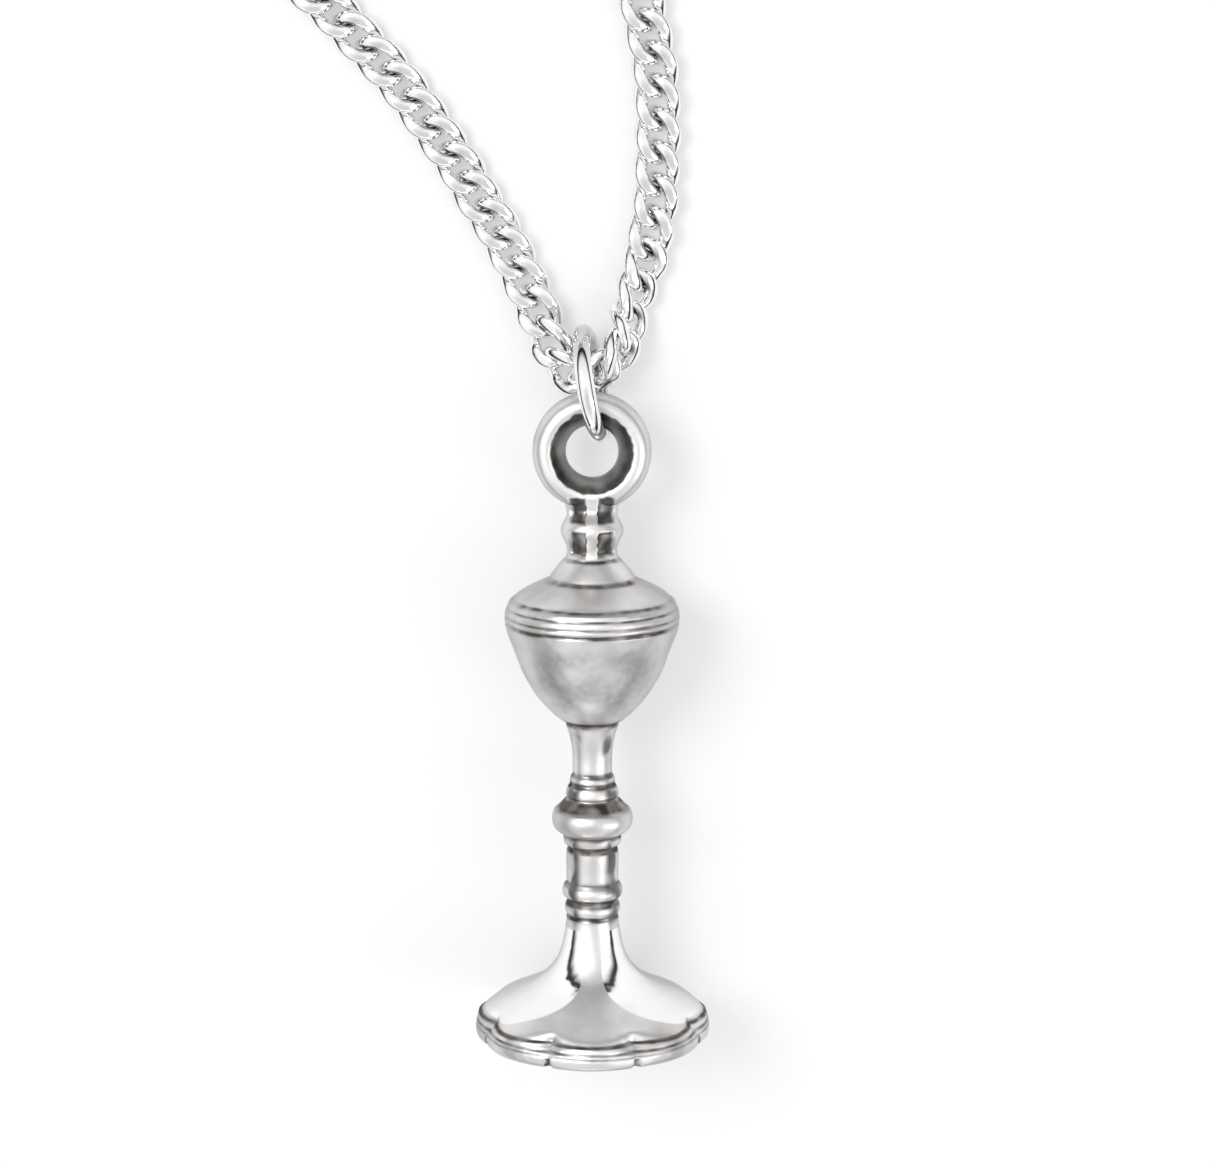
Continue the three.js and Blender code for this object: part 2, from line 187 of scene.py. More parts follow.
class Nodes:
    """Short way to add and join shader nodes."""

    def __init__(self, owner):
        owner.use_nodes = True
        self.tree = owner.node_tree
        self.shader = self.tree.nodes.get("Principled BSDF")

    def add(self, kind, **values):
        node = self.tree.nodes.new(kind)
        for key, value in values.items():
            setattr(node, key, value)
        return node

    def join(self, source, target):
        self.tree.links.new(source, target)

    def noise(self, scale, detail=4.0, stretch=(1, 1, 1)):
        coords = self.add("ShaderNodeTexCoord")
        mapping = self.add("ShaderNodeMapping")
        mapping.inputs["Scale"].default_value = stretch
        self.join(coords.outputs["Object"], mapping.inputs["Vector"])
        node = self.add("ShaderNodeTexNoise")
        node.inputs["Scale"].default_value = scale
        node.inputs["Detail"].default_value = detail
        self.join(mapping.outputs["Vector"], node.inputs["Vector"])
        return node.outputs["Fac"]

    def ramp(self, source, stops):
        node = self.add("ShaderNodeValToRGB")
        elements = node.color_ramp.elements
        elements[0].position, elements[0].color = stops[0]
        elements[1].position, elements[1].color = stops[-1]
        for position, color in stops[1:-1]:
            elements.new(position).color = color
        self.join(source, node.inputs["Fac"])
        return node.outputs["Color"]

    def mix(self, factor, first, second):
        node = self.add("ShaderNodeMix", data_type="RGBA")
        self.join(factor, node.inputs["Factor"])
        self.join(first, node.inputs[6])
        self.join(second, node.inputs[7])
        return node.outputs[2]

    def bump(self, height, strength, distance):
        node = self.add("ShaderNodeBump")
        node.inputs["Strength"].default_value = strength
        node.inputs["Distance"].default_value = distance
        self.join(height, node.inputs["Height"])
        return node.outputs["Normal"]


def grey(value, warm=0.0):
    return (value + warm, value, value - warm, 1)


# ---------------------------------------------------------------- camera, light and floor

def add_camera():
    data = bpy.data.cameras.new("camera")
    data.sensor_width = SENSOR
    data.lens = SENSOR * CAMERA_DISTANCE / VIEW_WIDTH
    data.clip_start = 0.01
    camera = bpy.data.objects.new("camera", data)
    bpy.context.scene.collection.objects.link(camera)
    back = Vector((0, math.sin(CAMERA_LEAN), math.cos(CAMERA_LEAN)))
    up = Vector((0, math.cos(CAMERA_LEAN), -math.sin(CAMERA_LEAN)))
    right = up.cross(back)
    place = (Vector(CAMERA_TARGET) + CAMERA_DISTANCE * back) * MM
    camera.matrix_world = Matrix((right, up, back)).transposed().to_4x4()
    camera.location = place
    bpy.context.scene.camera = camera


def add_area_light(name, place, target, size, power):
    data = bpy.data.lights.new(name, "AREA")
    data.shape = "RECTANGLE"
    data.size = size[0] * MM
    data.size_y = size[1] * MM
    data.energy = power
    light = bpy.data.objects.new(name, data)
    bpy.context.scene.collection.objects.link(light)
    light.location = Vector(place) * MM
    aim = (Vector(target) - Vector(place)).to_track_quat("-Z", "Y")
    light.rotation_euler = aim.to_euler()


def add_world():
    """Bright sky over dark ground, with a dim card in it."""
    world = bpy.data.worlds.new("studio")
    bpy.context.scene.world = world
    n = Nodes(world)
    direction = n.add("ShaderNodeTexCoord").outputs["Generated"]
    split = n.add("ShaderNodeSeparateXYZ")
    n.join(direction, split.inputs[0])
    sky = n.ramp(split.outputs["Z"], [(HORIZON[0], GROUND), (HORIZON[1], SKY)])
    toward = n.add("ShaderNodeVectorMath", operation="DOT_PRODUCT")
    toward.inputs[1].default_value = DARK_CARD
    n.join(direction, toward.inputs[0])
    card = n.ramp(toward.outputs["Value"], [(CARD_EDGE[0], WHITE), (CARD_EDGE[1], CARD)])
    both = n.add("ShaderNodeMix", data_type="RGBA", blend_type="MULTIPLY")
    both.inputs["Factor"].default_value = 1.0
    n.join(sky, both.inputs[6])
    n.join(card, both.inputs[7])
    background = n.tree.nodes["Background"]
    n.join(both.outputs[2], background.inputs["Color"])
    background.inputs["Strength"].default_value = 1.0


def add_lights():
    add_world()
    for light in LIGHTS:
        add_area_light(*light)
    bpy.context.scene.view_settings.view_transform = "Standard"


def add_floor():
    mesh = bpy.data.meshes.new("floor")
    corners = [(-1, -1), (1, -1), (1, 1), (-1, 1)]
    mesh.from_pydata([(FLOOR_HALF * x, FLOOR_HALF * y, 0) for x, y in corners], [], [(0, 1, 2, 3)])
    floor = bpy.data.objects.new("floor", mesh)
    bpy.context.scene.collection.objects.link(floor)
    material = bpy.data.materials.new("floor_white")
    shader = Nodes(material).shader
    shader.inputs["Base Color"].default_value = grey(FLOOR_GREY)
    shader.inputs["Roughness"].default_value = 0.9
    shader.inputs["Emission Color"].default_value = WHITE
    shader.inputs["Emission Strength"].default_value = FLOOR_GLOW
    mesh.materials.append(material)


# ---------------------------------------------------------------- materials

def antique_silver():
    """Satin cast silver, warm grey, darkened where a value on the mesh's points is high: oxide left in
    its hollows, and painted reflection mottle on the bowl.
    """
    material = bpy.data.materials.new("antique_silver")
    n = Nodes(material)
    clouds = n.noise(420.0, 9.0)
    silver = n.ramp(clouds, [(0.32, grey(0.56, 0.012)), (0.5, grey(0.7, 0.012)),
                             (0.66, grey(0.82, 0.008))])
    oxide_and_shade_tone = n.ramp(n.noise(1500.0), [(0.35, grey(0.06, 0.005)), (0.65, grey(0.14, 0.009))])
    clean = n.ramp(clouds, [(0.3, grey(0.93)), (0.7, grey(0.96))])
    # darkening from a value on the points: oxide in the charm's hollows, and painted reflection mottle
    # on the bowl
    oxide_and_shade = n.add("ShaderNodeAttribute", attribute_name="oxide_and_shade")
    polish = n.add("ShaderNodeAttribute", attribute_name="polish")
    surface = n.mix(polish.outputs["Fac"], silver, clean)
    n.join(n.mix(oxide_and_shade.outputs["Fac"], surface, oxide_and_shade_tone), n.shader.inputs["Base Color"])
    n.shader.inputs["Metallic"].default_value = 1.0
    n.shader.inputs["Specular Tint"].default_value = (0.6, 0.59, 0.58, 1)
    satin = n.ramp(clouds, [(0.3, grey(0.46)), (0.7, grey(0.36))])
    bright = n.ramp(n.noise(900.0), [(0.3, grey(0.10)), (0.7, grey(0.14))])
    n.join(n.mix(polish.outputs["Fac"], satin, bright), n.shader.inputs["Roughness"])
    scratches = n.noise(2600.0, 6.0, (1.0, 0.25, 1.0))
    n.join(n.bump(scratches, 0.25, 0.00003), n.shader.inputs["Normal"])
    return material


def bright_silver():
    """Polished rhodium-plated silver with fine wear, darkened by painted shade where a value on the
    mesh's points is high.
    """
    material = bpy.data.materials.new("bright_silver")
    n = Nodes(material)
    wear = n.noise(1800.0)
    silver = n.ramp(wear, [(0.3, grey(0.84, -0.004)), (0.7, grey(0.93, -0.004))])
    oxide_and_shade_tone = n.ramp(n.noise(2400.0), [(0.35, grey(0.05)), (0.65, grey(0.16))])
    # darkening from a value on the points: painted shade on the jump ring's inner and far sides and in
    # the chain's crevices
    oxide_and_shade = n.add("ShaderNodeAttribute", attribute_name="oxide_and_shade")
    n.join(n.mix(oxide_and_shade.outputs["Fac"], silver, oxide_and_shade_tone), n.shader.inputs["Base Color"])
    n.shader.inputs["Metallic"].default_value = 1.0
    n.join(n.ramp(wear, [(0.3, grey(0.07)), (0.7, grey(0.13))]), n.shader.inputs["Roughness"])
    n.join(n.bump(n.noise(5000.0), 0.1, 0.00001), n.shader.inputs["Normal"])
    return material


# ---------------------------------------------------------------- mesh helpers

def smooth_mesh(name, points, faces, material):
    """An object with smooth shading from points in mm."""
    mesh = bpy.data.meshes.new(name)
    mesh.from_pydata([tuple(Vector(p) * MM) for p in points], [], faces)
    surface = bmesh.new()
    surface.from_mesh(mesh)
    bmesh.ops.recalc_face_normals(surface, faces=surface.faces)
    surface.to_mesh(mesh)
    surface.free()
    mesh.materials.append(material)
    mesh.shade_smooth()
    mesh.update()
    piece = bpy.data.objects.new(name, mesh)
    bpy.context.scene.collection.objects.link(piece)
    return piece


def value_on_points(piece, name, values):
    attribute = piece.data.attributes.new(name, "FLOAT", "POINT")
    attribute.data.foreach_set("value", np.asarray(values, dtype=np.float32))


def grid_faces(rows, columns, wrap_rows=False):
    """Quads over a grid of points whose columns close on themselves."""
    faces = []
    for row in range(rows if wrap_rows else rows - 1):
        below = row * columns
        above = (row + 1) % rows * columns
        for column in range(columns):
            after = (column + 1) % columns
            faces.append((below + column, below + after, above + after, above + column))
    return faces


def ring_points(centre, first, second, radius, count):
    points = []
    for i in range(count):
        turn = 2 * math.pi * i / count
        points.append(centre + radius * (math.cos(turn) * first + math.sin(turn) * second))
    return points


def tube_section(centre, along, upward, radius, sides):
    """Points round a tube at one place of its middle line."""
    first = along.cross(upward).normalized()
    return ring_points(centre, first, first.cross(along), radius, sides)


def closed_tube(centres, radius, sides, upward=UP):
    """Points and faces of a ring-shaped tube round a closed line of centres."""
    points = []
    count = len(centres)
    for i, centre in enumerate(centres):
        along = (centres[(i + 1) % count] - centres[i - 1]).normalized()
        points += tube_section(centre, along, upward, radius, sides)
    return points, grid_faces(count, sides, wrap_rows=True)


def open_tube(centres, radius, sides, upward=UP):
    """Points and faces of a bar round an open line of centres, slightly narrower at its ends."""
    points = []
    last = len(centres) - 1
    for i, centre in enumerate(centres):
        along = (centres[min(i + 1, last)] - centres[max(i - 1, 0)]).normalized()
        shrink = 0.8 if i in (0, last) else 1.0
        points += tube_section(centre, along, upward, shrink * radius, sides)
    faces = grid_faces(last + 1, sides)
    faces.append(tuple(range(sides)))
    faces.append(tuple(last * sides + k for k in reversed(range(sides))))
    return points, faces


def curve_through(points, steps):
    """Uniform Catmull-Rom line through points, with the same end rule as the CAD route."""
    points = [2 * points[0] - points[1], *points, 2 * points[-1] - points[-2]]
    line = []
    for i in range(1, len(points) - 2):
        before, start, end, after = points[i - 1:i + 3]
        for k in range(steps):
            t = k / steps
            line.append(0.5 * (2 * start + (end - before) * t
                               + (2 * before - 5 * start + 4 * end - after) * t ** 2
                               + (3 * start - before - 3 * end + after) * t ** 3))
    line.append(points[-2])
    return line


class Line:
    """A line that can be asked for the point at a distance along it."""

    def __init__(self, points):
        self.points = np.array(points)
        steps = np.linalg.norm(np.diff(self.points, axis=0), axis=1)
        self.distances = np.concatenate([[0.0], np.cumsum(steps)])
        self.length = float(self.distances[-1])

    def at(self, distance):
        return Vector([np.interp(distance, self.distances, self.points[:, k]) for k in range(3)])


# ---------------------------------------------------------------- charm

# Outline of the charm as strokes of (radius, height); strokes meet at sharp corners
UNDERSIDE = [(0.3, 0.0), (2.2, 0.0), (4.44, 0.0)]
RIM = [(4.5, 0.0), (4.6, 0.11), (LOBE_REACH, BASE_HEIGHT), (4.6, 0.55), (4.5, RIM_HEIGHT)]
DOME_OF_FOOT = [(4.42, 0.89), (4.2, 1.1), (3.75, 1.36), (3.0, 1.72), (2.3, 2.1), (1.8, 2.5),
                (1.45, 2.95), (1.24, 3.45), (1.11, 4.0), (1.04, 4.5), (1.02, 4.78)]
COLLAR = [(0.97, 4.86), (1.03, 4.95), (1.08, 5.12), (1.05, 5.33)]
FOOT_RING = [(0.98, 5.44), (1.02, 5.56), (1.14, 5.67), (1.18, 5.88), (1.12, 6.07)]
LOWER_STEM = [(1.0, 6.2), (1.02, 6.37), (1.02, 6.75), (1.02, 7.31), (1.0, 7.5)]
STEM_RING = [(0.96, 7.61), (1.0, 7.7), (1.1, 7.79), (1.13, 7.93), (1.13, 8.06)]
KNOP = [(1.12, 8.12), (1.24, 8.2), (1.46, 8.38), (1.56, 8.62), (1.57, 8.86), (1.5, 9.08),
        (1.44, 9.15)]
KNOP_CONE = [(1.37, 9.18), (1.17, 9.42), (1.03, 9.56)]
UPPER_RINGS = [(0.97, 9.6), (1.03, 9.72), (1.0, 9.92), (0.93, 10.08), (0.87, 10.16), (0.88, 10.25),
               (0.86, 10.38), (0.82, 10.48)]
UPPER_STEM = [(0.76, 10.54), (0.77, 10.77), (0.77, 11.25), (0.8, 11.64), (0.88, 12.07), (1.02, 12.52)]
BOWL = [(0.97, 12.64), (1.1, 12.68), (1.29, 12.8), (1.6, 13.07), (2.15, 13.7), (2.68, 14.6),
        (3.04, 15.55), (3.28, 16.25), (BOWL_RADIUS, BOWL_HEIGHT), (3.34, 17.06), (3.2, 17.39)]
DOME = [(3.04, 17.48), (2.9, 17.63), (2.55, 17.85), (2.15, 18.06), (1.78, 18.23)]
BELL = [(1.66, 18.29), (1.58, 18.43), (1.42, 18.65), (1.2, 18.92), (0.98, 19.18)]
FINIAL = [(0.95, 19.3), (0.97, 19.51), (1.06, 19.75), (1.16, 19.95), (1.2, 20.12), (1.18, 20.3),
          (1.08, 20.5), (0.99, 20.68), (0.98, 20.9), (1.02, 21.15), (1.06, 21.4)]
STROKES = [UNDERSIDE, RIM, DOME_OF_FOOT, COLLAR, FOOT_RING, LOWER_STEM, STEM_RING, KNOP,
           KNOP_CONE, UPPER_RINGS, UPPER_STEM, BOWL, DOME, BELL, FINIAL]
ROW_STEP = 0.05            # from one row of points to the next
UNDERSIDE_STEP = 0.3
NOTCH_FROM = 4.0           # the notches cut only the edge, outside this radius
CHARM_COLUMNS = 360

# Incised lines as height, depth and half width
INCISED = [(0.46, 0.035, 0.04), (0.62, 0.04, 0.04), (16.59, 0.07, 0.05), (16.87, 0.05, 0.045),
           (17.18, 0.045, 0.04), (19.06, 0.04, 0.05)]
# Dark grooves as height, half width and darkness
GROOVES = [(0.46, 0.035, 0.6), (0.62, 0.04, 0.7), (0.88, 0.05, 1.0), (4.85, 0.1, 0.85),
           (5.44, 0.15, 1.0), (6.17, 0.1, 0.85), (7.6, 0.13, 1.0), (8.1, 0.08, 0.85),
           (9.38, 0.19, 1.0), (10.17, 0.11, 1.0), (10.54, 0.1, 0.8), (12.64, 0.12, 1.0),
           (16.59, 0.075, 1.0), (16.87, 0.04, 0.9), (17.18, 0.035, 0.8), (17.47, 0.055, 0.85),
           (18.27, 0.065, 0.9), (19.06, 0.06, 0.8)]
GROOVE_FILL = 1.7          # above 1 the middle of a groove is evenly dark
GROOVE_FADE_FROM = 12.9           # above this height the grooves fade out toward the charm's sides
POLISHED = (1.0, 4.4)      # heights between which the foot is polished beside its grey band
GREY_TOP = 0.3             # half width of the grey band at the top of the foot
GREY_SPREAD = 3.4          # how much wider it is at the rim
GREY_FROM = 0.95           # height above which it narrows
GREY_FADE = 0.72           # and how fast
NOTCH_DEPTH = 0.22
NOTCH_HEIGHT = 0.5
NOTCH_HALF_ANGLE = math.radians(2.6)
CROSS_BAR = 0.235          # half width of the finial cross's upright
CROSS_ARM = (20.24, 20.5)  # heights between which its arm runs
CROSS_FROM = 19.26
CROSS_TO = 21.62
CROSS_DEPTH = 0.14
CROSS_EDGE = 0.08          # width of the recesses' soft edges
CROSS_REACH = 0.88         # the recesses end this far from the upright's middle
NECK_FROM = 20.5           # above it the finial flattens to the bail ring's thickness
NECK_TO = 21.0
NECK_FLATNESS = 0.7
STEM_OXIDE = 0.85          # darkness of the patches on the stem
STEM_PATCHES = (4.5, 12.5) # heights between which they lie
PATCH_FREE = (8.3, 9.1)    # apart from the knop
MOTTLE_DARKNESS = 0.3               # darkness of the painted reflection mottle on the bowl
MOTTLE_HEIGHTS = (12.8, 16.3)     # heights between which they lie
PIT_DEPTH = 0.16           # as a share of the bail ring's half thickness
PIT_FROM = 1.66            # the ring is pitted outside this distance from its centre
BORE_WEAR = 0.4            # how much of the dark is worn off in the ring's bore
BAIL_TURNS = 160           # sections round the bail ring
BROAD_DENT = 0.03          # in mm
FINE_DENT = 0.012


def charm_rows():
    """Radius and height of each row of the charm, evenly spaced within each stroke."""
    rows = []
    for stroke in STROKES:
        line = Line(curve_through([Vector((r, h, 0)) for r, h in stroke], 12))
        step = UNDERSIDE_STEP if stroke is UNDERSIDE else ROW_STEP
        count = max(2, round(line.length / step))
        rows += [line.at(line.length * i / count)[:2] for i in range(count + 1)]
    return rows


def lobe_share(angle, lobe_radius):
    """Lobed outline of the foot as a share of the distance to a lobe's tip."""
    step = 2 * math.pi / LOBES
    off_tip = angle - round(angle / step) * step
    centre = LOBE_REACH - lobe_radius
    across = centre * math.sin(off_tip)
    return (centre * math.cos(off_tip) + math.sqrt(lobe_radius ** 2 - across ** 2)) / LOBE_REACH


def notch(height, angle):
    """How deep the small notch between two lobes cuts the foot's bottom edge, in mm."""
    step = 2 * math.pi / LOBES
    off_cusp = abs(angle - (math.floor(angle / step) + 0.5) * step)
    half_width = NOTCH_HALF_ANGLE * (1 - height / NOTCH_HEIGHT)
    if half_width <= 0:
        return 0.0
    return NOTCH_DEPTH * max(0.0, 1 - off_cusp / half_width)


def ease(value, start, end):
    t = min(max((value - start) / (end - start), 0.0), 1.0)
    return t * t * (3 - 2 * t)


def fall(value, end, width):
    """1 well below end, falling to 0 over the width before it."""
    return ease(-value, -end, width - end)


def cross_recess(radius, height, angle):
    """How deep a point of the finial is sunk beside the raised cross, from 0 to 1."""
    across = abs(radius * math.sin(angle))
    ragged = 0.07 * noise.noise(Vector((5 * across, 5 * height, angle)))
    beside = ease(across + ragged, CROSS_BAR - 0.03, CROSS_BAR + 0.05)
    beside *= fall(across, CROSS_REACH, 0.1)
    low, high = CROSS_ARM
    off_arm = max(fall(height, low, CROSS_EDGE), ease(height, high, high + CROSS_EDGE))
    in_height = ease(height, CROSS_FROM, CROSS_FROM + CROSS_EDGE) * fall(height, CROSS_TO, CROSS_EDGE)
    return beside * in_height * off_arm


def dents(point):
    """Small casting and tumbling marks, in mm."""
    broad = noise.noise(point * 0.9) * BROAD_DENT
    fine = noise.noise(point * 3.1 + Vector((7, 3, 1))) * FINE_DENT
    return broad + fine


def stem_patches(local, angle):
    """Oxide left in patches on the sides of the stem."""
    bottom, top = STEM_PATCHES
    on_stem = ease(local.y, bottom, bottom + 0.4) * fall(local.y, top, 0.7)
    sideways = abs(math.sin(angle))
    beside = ease(sideways, 0.35, 0.65) * fall(sideways, 1.02, 0.16)
    low, high = PATCH_FREE
    off_knop = max(fall(local.y, low, 0.2), ease(local.y, high, high + 0.15))
    patch = ease(noise.noise(local * Vector((1.4, 0.9, 1.4)) + Vector((3, 5, 2))), -0.16, 0.1)
    return STEM_OXIDE * on_stem * off_knop * beside * patch


def bowl_painted_mottle(local, angle):
    """Painted reflection mottle: faint grey clouds over the lower front and back of the bowl."""
    bottom, top = MOTTLE_HEIGHTS
    on_bowl = ease(local.y, bottom, bottom + 0.8) * fall(local.y, top, 0.7)
    facing = ease(abs(math.cos(angle)), 0.45, 0.8)
    broad = ease(noise.noise(local * 0.8 + Vector((2, 9, 4))), -0.3, 0.3)
    fine = 0.5 + 0.5 * noise.noise(local * 4.5)
    return MOTTLE_DARKNESS * on_bowl * facing * (0.35 + 0.65 * broad) * (0.6 + 0.8 * fine)


def charm_oxide_and_mottle(local, height, angle, recess, cut):
    """Darkness of a point of the charm, from 0 to 1."""
    oxide_and_shade = max(recess, min(1.0, 4 * cut / NOTCH_DEPTH))
    for at, half_width, darkness in GROOVES:
        band = min(1.0, GROOVE_FILL * math.exp(-((height - at) / half_width) ** 2))
        oxide_and_shade = max(oxide_and_shade, darkness * band)
    darkness_scale = 1.0 + 0.7 * noise.noise(local * 2.3)
    # above a height the grooves fade out toward the charm's left and right sides
    if height > GROOVE_FADE_FROM and recess == 0:
        darkness_scale *= 1 - 0.8 * ease(abs(math.sin(angle)), 0.8, 0.97)
    return max(min(1.0, oxide_and_shade * darkness_scale), stem_patches(local, angle), bowl_painted_mottle(local, angle))


def charm_polish(across, height):
    """The foot is polished outside a grey band that widens toward its rim."""
    start, end = POLISHED
    if not start < height < end:
        return 0.0
    grey_half = GREY_TOP + GREY_SPREAD * math.exp(-(max(height - GREY_FROM, 0) / GREY_FADE) ** 1.6)
    return ease(across, grey_half, grey_half + 0.06) * ease(height, start, start + 0.1)


def charm_point(radius, height, angle):
    """One surface point of the charm with its darkness, from oxide and painted mottle, and its polish.
    """
    share = 1.0
    cut = 0.0
    if height < LOBES_END:
        lobe_radius = BASE_LOBE + (TOP_LOBE - BASE_LOBE) * ease(height, BASE_HEIGHT, RIM_HEIGHT)
        fade = 1 - ease(height, RIM_HEIGHT, LOBES_END)
        share = 1 + fade * (lobe_share(angle, lobe_radius) - 1)
        cut = notch(height, angle) * ease(radius, NOTCH_FROM, NOTCH_FROM + 0.4)
    for at, depth, half_width in INCISED:
        radius -= depth * math.exp(-((height - at) / half_width) ** 2)
    recess = cross_recess(radius, height, angle)
    local = Vector((radius * math.sin(angle), height, radius * math.cos(angle)))
    reach = radius * share - cut - CROSS_DEPTH * recess + dents(local) * ease(radius, 0.9, 2.2)
    flatness = 1 + (NECK_FLATNESS - 1) * ease(height, NECK_FROM, NECK_TO)
    across = reach * math.sin(angle)
    place = FOOT_CENTRE + height * AXIS + across * SIDE + flatness * reach * math.cos(angle) * FRONT
    return place, charm_oxide_and_mottle(local, height, angle, recess, cut), charm_polish(abs(across), height)


def add_ciborium(material):
    points = []
    oxide_and_shade = []
    polish = []
    rows = charm_rows()
    for radius, height in rows:
        for column in range(CHARM_COLUMNS):
            place, dark, shine = charm_point(radius, height, 2 * math.pi * column / CHARM_COLUMNS)
            points.append(place)
            oxide_and_shade.append(dark)
            polish.append(shine)
    faces = grid_faces(len(rows), CHARM_COLUMNS)
    top = (len(rows) - 1) * CHARM_COLUMNS
    faces.append(tuple(reversed(range(CHARM_COLUMNS))))
    faces.append(tuple(top + column for column in range(CHARM_COLUMNS)))
    piece = smooth_mesh("ciborium_casting", points, faces, material)
    for polygon in piece.data.polygons[-2:]:
        polygon.use_smooth = False
    value_on_points(piece, "oxide_and_shade", oxide_and_shade)
    value_on_points(piece, "polish", polish)
    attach(piece, "charm")
    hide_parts("ciborium")


def bail_section():
    """Rounded section of the bail ring as (radius, height) points, from the hole outward."""
    half = BAIL_HALF_THICKNESS
    upper = [(BAIL_HOLE, 0.0), (BAIL_HOLE + 0.02, 0.12), (1.14, 0.3), (1.36, 0.52),
             (1.54, half - 0.06), (BAIL_BEVEL + 0.06, half - 0.01), (1.8, half), (1.98, 0.68),
             (2.13, 0.53), (2.23, 0.3), (BAIL_RADIUS, 0.0)]
    lower = [(r, -h) for r, h in reversed(upper[1:-1])]
    return [Vector((r, h, 0)) for r, h in upper + lower]


def foot_pit(across, along):
    """How deep the ring is pitted where the finial's recesses run into it, from 0 to 1."""
    ragged = PIT_FROM + 0.1 * noise.noise(Vector((across * 4, along * 4, 0)))
    across = abs(across)
    beside = ease(across, CROSS_BAR, CROSS_BAR + CROSS_EDGE) * fall(across, CROSS_REACH, 0.12)
    return beside * ease(-along, ragged, ragged + 0.1)


def bail_oxide(place, radius):
    """Darkness of the bail ring inside its bevel, with a ragged edge."""
    wobble = 0.25 * noise.noise(place * 1.7)
    ragged = radius + 0.06 * noise.noise(place * 5.0)
    dark = 1 - ease(ragged, BAIL_BEVEL - 0.04, BAIL_BEVEL + 0.05)
    return dark * (1 - BORE_WEAR * fall(radius, 1.45, 0.35) + wobble)


def add_bail_ring(material):
    section = bail_section()
    outline = curve_through(section + section[:1], 4)[:-1]
    points = []
    oxide_and_shade = []
    for i in range(BAIL_TURNS):
        angle = 2 * math.pi * i / BAIL_TURNS
        out = math.cos(angle) * AXIS + math.sin(angle) * SIDE
        for spot in outline:
            radius, lift = spot.x, spot.y
            pit = foot_pit(radius * math.sin(angle), radius * math.cos(angle))
            lift *= 1 - PIT_DEPTH * pit
            place = BAIL_CENTRE + radius * out + lift * FRONT
            oxide_and_shade.append(max(pit, bail_oxide(place, radius)))
            points.append(place + dents(place) * 0.5 * out)
    faces = grid_faces(BAIL_TURNS, len(outline), wrap_rows=True)
    piece = smooth_mesh("bail_ring_casting", points, faces, material)
    value_on_points(piece, "oxide_and_shade", oxide_and_shade)
    value_on_points(piece, "polish", np.zeros(len(points)))
    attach(piece, "charm")
    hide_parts("bail_ring")


def add_jump_ring(material):
    along = Vector((-math.sin(JUMP_YAW), math.cos(JUMP_YAW), 0))
    up = Vector((-math.cos(JUMP_YAW) * math.sin(JUMP_LEAN),
                 -math.sin(JUMP_YAW) * math.sin(JUMP_LEAN),
                 math.cos(JUMP_LEAN)))
    centre = centre_of("jump_ring")
    centres = []
    steps = 96
    for i in range(steps + 1):
        turn = JUMP_CUT_AT + JUMP_CUT / 2 + (2 * math.pi - JUMP_CUT) * i / steps
        centres.append(centre + JUMP_RADIUS * (math.cos(turn) * along + math.sin(turn) * up))
    points, faces = open_tube(centres, JUMP_WIRE, 24, along.cross(up))
    # painted shade: darker on the ring's inner side and on its far side
    oxide_and_shade = []
    for point in points:
        inward = 1 - ((point - centre).length - JUMP_RADIUS + JUMP_WIRE) / JUMP_WIRE
        far_shade = ease((point - centre).dot(along) / JUMP_RADIUS, 0.4, 1.0)
        oxide_and_shade.append(max(JUMP_INNER_SHADE * ease(inward, -0.1, 0.8), JUMP_FAR_SHADE * far_shade))
    piece = smooth_mesh("jump_ring_wire", points, faces, material)
    value_on_points(piece, "oxide_and_shade", oxide_and_shade)
    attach(piece, "jump_ring_body")
    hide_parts("jump_ring")


# ---------------------------------------------------------------- chain

def link_shape(steps, sides):
    """Points of one curb link round its own middle, flattened on both sides, its faces, and painted
    shade on its inner side near its ends.
    """
    centres = []
    for i in range(steps):
        turn = 2 * math.pi * i / steps
        across = LINK_HALF_WIDTH * math.sin(turn)
        along = LINK_HALF_LENGTH * math.cos(turn) + LINK_SKEW * across
        centres.append(Vector((along, across, -LINK_TWIST * math.sin(2 * turn))))
    points, faces = closed_tube(centres, LINK_WIRE, sides)
    oxide_and_shade = []
    for i, point in enumerate(points):
        centre = centres[i // sides]
        broad = LINK_BROAD * math.sin(2 * math.pi * (i // sides) / steps) ** 2
        point.xy += broad * (point - centre).xy
        # painted shade in the crevices: darker on the wire's inner side near the link's ends
        inward = (centre - point).dot(Vector((centre.x, centre.y, 0)).normalized()) / LINK_WIRE
        near_end = ease(abs(centre.x), LINK_SHADE_FROM, LINK_SHADE_FROM + 0.25)
        oxide_and_shade.append(LINK_CREVICE_SHADE * ease(inward, 0.35, 0.9) * near_end)
        flattened = LINK_FLAT + LINK_FLATTENING * (abs(point.z) - LINK_FLAT)
        point.z = math.copysign(min(abs(point.z), flattened), point.z)
    return points, faces, oxide_and_shade


def link_frame(line, distance, roll):
    """Place and directions of the link at a distance along the chain's line."""
    along = line.at(distance + LINK_PITCH / 2) - line.at(distance - LINK_PITCH / 2)
    along.normalize()
    across = UP.cross(along).normalized()
    across = Matrix.Rotation(math.radians(roll), 3, along) @ across
    normal = along.cross(across)
    return line.at(distance), Matrix((along, across, normal)).transposed()


def add_links(name, places, shape, material):
    """One piece of one or more links."""
    points = []
    faces = []
    shape_points, shape_faces, oxide_and_shade = shape
    for place, turn in places:
        start = len(points)
        points += [place + turn @ point for point in shape_points]
        faces += [tuple(start + k for k in face) for face in shape_faces]
    piece = smooth_mesh(name, points, faces, material)
    value_on_points(piece, "oxide_and_shade", oxide_and_shade * len(places))
    return piece


